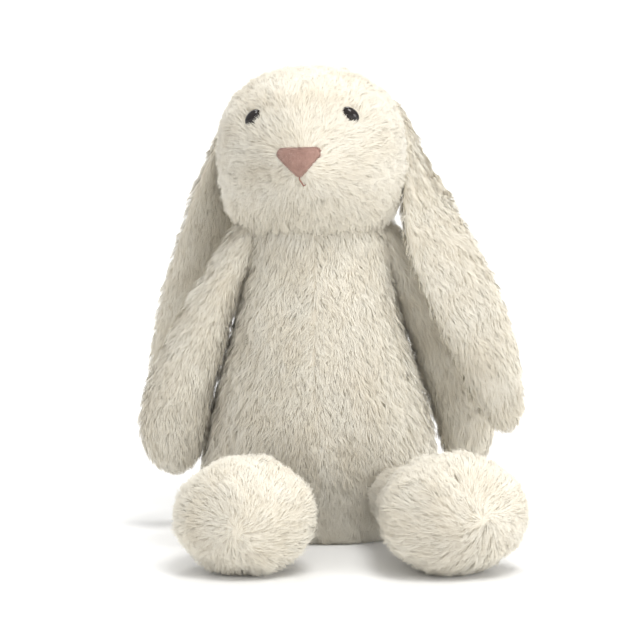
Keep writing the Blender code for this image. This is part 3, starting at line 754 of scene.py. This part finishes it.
hairs("pile_head_front", "head", skins["head"], head_nap, head_length, 2.2, seed=100,
      keep=lambda p, n: clear_of_face(p, n) & (p[:, 1] < HEAD_CENTRE.y))
hairs("pile_head_back", "head", skins["head"], head_nap, head_length, 1.7, seed=110,
      keep=lambda p, n: p[:, 1] >= HEAD_CENTRE.y)
for index, (across, back) in enumerate(((1, 0), (-1, 0), (1, 1), (-1, 1))):
    quarter = f"{'back' if back else 'front'}_{'left' if across > 0 else 'right'}"
    hairs("pile_body_" + quarter, "body", skins["body"], body_nap, body_length, 1.4 if back else 1.9,
          seed=120 + 10 * index,
          keep=lambda p, n: between_seat_and_neck(p) & ((p[:, 1] >= 0) == bool(back))
          & ((p[:, 0] >= 0) == (across > 0)))
TAIL_MIDDLE = np.array(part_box("tail_cover")).mean(0)
TAIL_NAP_SHIFT = np.array((0, 20, -5)) * MM
hairs("pile_tail", "body", skins["tail"], lambda p, n: p - TAIL_MIDDLE + TAIL_NAP_SHIFT,
      constant(PILE_LENGTH["tail"]), lift=0.6, seed=170)
for index, limb in enumerate(LIMB_RINGS):
    nap = leg_nap(limb) if limb.startswith("leg") else limb_nap(limb)
    long = constant(PILE_LENGTH[limb.split("_")[0]])
    hairs("pile_" + limb, limb, skins[limb], nap, long, 1.9, seed=200 + 10 * index)

# %% [markdown]
# ## Eyes
#
# Each eye is a moulded black dome on a stem that passes through the fabric into a locking washer. The dome
# here is turned from a smooth profile with a small rolled rim, and it is drawn out along its slant to an
# oval.


# %% Eyes
def eye_axis(side):
    """Where the dome's base is, and which way it looks, from the CAD's eye and its washer."""
    eye = points_of(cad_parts[f"eye_{side}"].data)
    washer = points_of(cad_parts[f"eye_washer_{side}"].data)
    out = unit(eye.mean(0) - washer.mean(0))
    top = ((eye - washer.mean(0)) @ out).max()
    return washer.mean(0) + out * (top - EYE_DOME), out


def turned(name, profile, place, direction, slant, steps=48):
    """A closed profile of (radius, height) points turned about a direction and drawn out along its slant."""
    bm = bmesh.new()
    rows = []
    for radius, height in profile:
        if radius < 1e-7:
            rows.append([bm.verts.new((0, 0, height))])
            continue
        rows.append([
            bm.verts.new((radius * math.cos(angle), radius * math.sin(angle), height))
            for angle in (2 * math.pi * k / steps for k in range(steps))
        ])
    for a, b in zip(rows, rows[1:]):
        for k in range(steps):
            corners = [a[k % len(a)], a[(k + 1) % len(a)], b[(k + 1) % len(b)], b[k % len(b)]]
            bm.faces.new(list(dict.fromkeys(corners)))
    bmesh.ops.recalc_face_normals(bm, faces=bm.faces)
    mesh = bpy.data.meshes.new(name)
    bm.to_mesh(mesh)
    bm.free()
    out = Vector(direction).normalized()
    along = Vector((math.cos(slant), 0, math.sin(slant)))
    along = (along - along.dot(out) * out).normalized()
    turn = Matrix((along, out.cross(along), out)).transposed()
    mesh.transform(Matrix.Translation(place) @ turn.to_4x4() @ Matrix.Diagonal((*EYE_OVAL, 1, 1)))
    return mesh


for side in ("left", "right"):
    place, out = eye_axis(side)
    profile = [(0, EYE_DOME)]
    for k in range(1, 15):
        angle = math.pi / 2 * k / 15
        profile.append((EYE_RADIUS * math.sin(angle), EYE_DOME * math.cos(angle)))
    profile += [(EYE_RADIUS, 0), (EYE_RADIUS * 1.03, -0.25 * MM)]
    profile += [(EYE_RADIUS * 1.02, -0.6 * MM), (EYE_RADIUS * 0.9, -EYE_RIM)]
    profile += [(EYE_STEM, -EYE_RIM), (EYE_STEM, -EYE_STEM_LONG), (0, -6.4 * MM)]
    name = f"safety_eye_{side}"
    mesh = turned(name, profile, Vector(place), out, math.radians(EYE_SLANT[side]))
    eye = show(name, mesh, "head", bead)
    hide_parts(f"eye_{side}")

# %% [markdown]
# ## Nose and mouth
#
# The nose is a scrap of dusty pink velveteen, folded to a triangle with round corners, padded a little and
# sewn round its edge with the same thread that makes the mouth. Its own pile is under a millimetre long.


# %% Nose
skin_tree = BVHTree.FromObject(skins["head"], bpy.context.evaluated_depsgraph_get())


def on_face(across, up):
    """The point of the face this far across and up from the head's middle, and its normal."""
    origin = FACE @ Vector((across, -3 * HEAD_HALF[1], up))
    hit, normal, _, _ = skin_tree.ray_cast(origin, FACE.to_3x3() @ Vector((0, 1, 0)))
    return hit, normal


def nose_outline(steps=9, corner=3.2 * MM):
    half, top = NOSE_WIDTH / 2, NOSE_UP + NOSE_HEIGHT / 2
    centres = [(-half + corner, top - corner), (half - corner, top - corner)]
    centres.append((0, top - NOSE_HEIGHT + corner * 1.1))
    outline = []
    for start, (x, z) in zip((210, 90, 330), centres):
        for k in range(steps):
            angle = math.radians(start - k * 120 / (steps - 1))
            outline.append((x + corner * math.cos(angle), z + corner * math.sin(angle)))
    filled = []
    for (ax, az), (bx, bz) in zip(outline, outline[1:] + outline[:1]):
        pieces = max(1, int(math.hypot(bx - ax, bz - az) / (0.8 * MM)))
        filled += [(ax + (bx - ax) * k / pieces, az + (bz - az) * k / pieces) for k in range(pieces)]
    return filled


def nose_mesh():
    outline = nose_outline()
    middle = (0, NOSE_UP + 1.8 * MM)
    bm = bmesh.new()
    rings = []
    for share in (1.0, 1.0, 0.97, 0.9, 0.78, 0.62, 0.44, 0.24):
        height = -0.4 * MM if not rings else (0.3 + 2.3 * (1 - share**5) ** 0.6) * MM
        ring = []
        for x, z in outline:
            point, normal = on_face(middle[0] + (x - middle[0]) * share, middle[1] + (z - middle[1]) * share)
            ring.append(bm.verts.new(point + normal * height))
        rings.append(ring)
    point, normal = on_face(*middle)
    tip = bm.verts.new(point + normal * 2.65 * MM)
    count = len(outline)
    for a, b in zip(rings, rings[1:]):
        for k in range(count):
            bm.faces.new((a[k], a[(k + 1) % count], b[(k + 1) % count], b[k]))
    for k in range(count):
        bm.faces.new((rings[-1][k], rings[-1][(k + 1) % count], tip))
    bm.faces.new(rings[0])
    bmesh.ops.recalc_face_normals(bm, faces=bm.faces)
    mesh = bpy.data.meshes.new("nose_velveteen")
    bm.to_mesh(mesh)
    bm.free()
    return mesh


nose = show("nose_velveteen", nose_mesh(), "head", velvet)
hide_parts("nose")
NOSE_OUT = np.array(FACE.to_3x3() @ Vector((0, -1, 0)))
NOSE_NAP_SHIFT = np.array((0, 0, -0.02))
hairs("nose_nap", "head", nose, lambda p, n: p - NOSE_AT + NOSE_NAP_SHIFT, constant(0.9), per_mm2=9, lift=0.6,
      tuft=0.7, pull=0.4, wide=0.16, seed=400, looks=velvet_pile, keep=lambda p, n: n @ NOSE_OUT > 0.1)


def thread(name, points, radius, body, material, closed=False):
    """A round thread along a line of points."""
    curve = bpy.data.curves.new(name, "CURVE")
    curve.dimensions = "3D"
    curve.bevel_depth = radius
    curve.bevel_resolution = 3
    curve.use_fill_caps = True
    spline = curve.splines.new("POLY")
    spline.points.add(len(points) - 1)
    for knot, point in zip(spline.points, points):
        knot.co = (*point, 1)
    spline.use_cyclic_u = closed
    thing = bpy.data.objects.new(name, curve)
    bpy.context.scene.collection.objects.link(thing)
    curve.materials.append(material)
    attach(thing, body)
    return thing


stitched = []
edge = nose_outline(13)
for k in range(len(edge)):
    (ax, az), (bx, bz) = edge[k], edge[(k + 1) % len(edge)]
    inward = Vector((0, NOSE_UP)) - Vector((ax, az))
    inward.normalize()
    stitched.append(((ax, az), (ax + inward.x * 1.1 * MM, az + inward.y * 1.1 * MM)))
line = []
for k, (outer, inner) in enumerate(stitched):
    for x, z in ((outer, inner) if k % 2 else (inner, outer)):
        point, normal = on_face(x, z)
        line.append(point + normal * (0.5 * MM if (x, z) == outer else 1.75 * MM))
thread("nose_edge_stitch", line, NOSE_THREAD, "head", rose, closed=True)

# %% Mouth
mouth = []
for k in range(9):
    part = k / 8
    point, normal = on_face(MOUTH_SLANT * part, NOSE_UP - NOSE_HEIGHT / 2 + 0.6 * MM - MOUTH_LENGTH * part)
    mouth.append(point + normal * (2.4 * MM if 0 < k < 8 else -0.5 * MM))
line = thread("mouth_thread", mouth, MOUTH_THREAD, "head", rose)
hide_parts("mouth_stitch")

# %% [markdown]
# ## Threads and washers
#
# The CAD's own threads and washers have the right shape. They lie deep in the pile or inside the toy, and
# get the thread and the milky plastic material.

# %% Materials on CAD nodes
for name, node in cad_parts.items():
    if node.hide_render:
        continue
    look = milky if "washer" in name else cotton
    node.data.materials.clear()
    node.data.materials.append(look)
    node.data.shade_smooth()
print("CAD nodes shown:", [n for n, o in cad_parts.items() if not o.hide_render])

# %% [markdown]
# ## Studio
#
# A pale sweep that runs up behind the toy, a soft light from above the camera, a weaker one from low on the
# right, one on the backdrop, and an even white surround.


# %% Floor, lights and camera
SWEEP_FLAT = 1.2
SWEEP_BEND = 0.8
CAMERA_FAR = 1.3
CAMERA_RISE = math.radians(6)
CAMERA_LENS = 126.08
LOOK_AT = Vector((0, 0, 0.122))


def make_sweep():
    bm = bmesh.new()
    profile = [(-3.0, 0.0), (SWEEP_FLAT, 0.0)]
    for k in range(1, 13):
        angle = math.pi / 2 * k / 12
        profile.append((SWEEP_FLAT + SWEEP_BEND * math.sin(angle), SWEEP_BEND - SWEEP_BEND * math.cos(angle)))
    profile.append((SWEEP_FLAT + SWEEP_BEND, 4.0))
    rows = [[bm.verts.new((x, y, z)) for y, z in profile] for x in (-4, 4)]
    for k in range(len(profile) - 1):
        bm.faces.new((rows[0][k], rows[1][k], rows[1][k + 1], rows[0][k + 1]))
    mesh = bpy.data.meshes.new("floor_sweep")
    bm.to_mesh(mesh)
    bm.free()
    mesh.shade_smooth()
    thing = bpy.data.objects.new("floor_sweep", mesh)
    bpy.context.scene.collection.objects.link(thing)
    mesh.materials.append(plain("white_paper", (0.93, 0.93, 0.925), 0.9))
    return thing


def soft_light(name, place, target, size, power, colour=(1, 1, 1)):
    lamp = bpy.data.lights.new(name, "AREA")
    lamp.shape = "DISK"
    lamp.size = size
    lamp.energy = power
    lamp.color = colour
    thing = bpy.data.objects.new(name, lamp)
    thing.location = place
    thing.rotation_euler = (Vector(target) - Vector(place)).to_track_quat("-Z", "Y").to_euler()
    bpy.context.scene.collection.objects.link(thing)


make_sweep()
soft_light("key_light", (0.3, -0.75, 1.5), (0, 0, 0.12), 0.7, 12.5, (1, 0.99, 0.97))
soft_light("fill_light", (1.25, -1.0, 0.35), (0, 0, 0.12), 0.9, 8)
soft_light("backdrop_light", (0, 0.55, 1.7), (0, 2.0, 0.3), 0.8, 20)
world = bpy.data.worlds.new("surround")
world.use_nodes = True
world.node_tree.nodes["Background"].inputs["Color"].default_value = (1, 1, 1, 1)
world.node_tree.nodes["Background"].inputs["Strength"].default_value = 0.76
bpy.context.scene.world = world
bpy.context.scene.view_settings.view_transform = "Standard"

camera = bpy.data.objects.new("camera", bpy.data.cameras.new("camera"))
camera.data.sensor_width = 36
camera.data.lens = CAMERA_LENS
back = Vector((0, -math.cos(CAMERA_RISE), math.sin(CAMERA_RISE)))
camera.location = LOOK_AT + back * CAMERA_FAR
camera.rotation_euler = (-back).to_track_quat("-Z", "Y").to_euler()
bpy.context.scene.collection.objects.link(camera)
bpy.context.scene.camera = camera
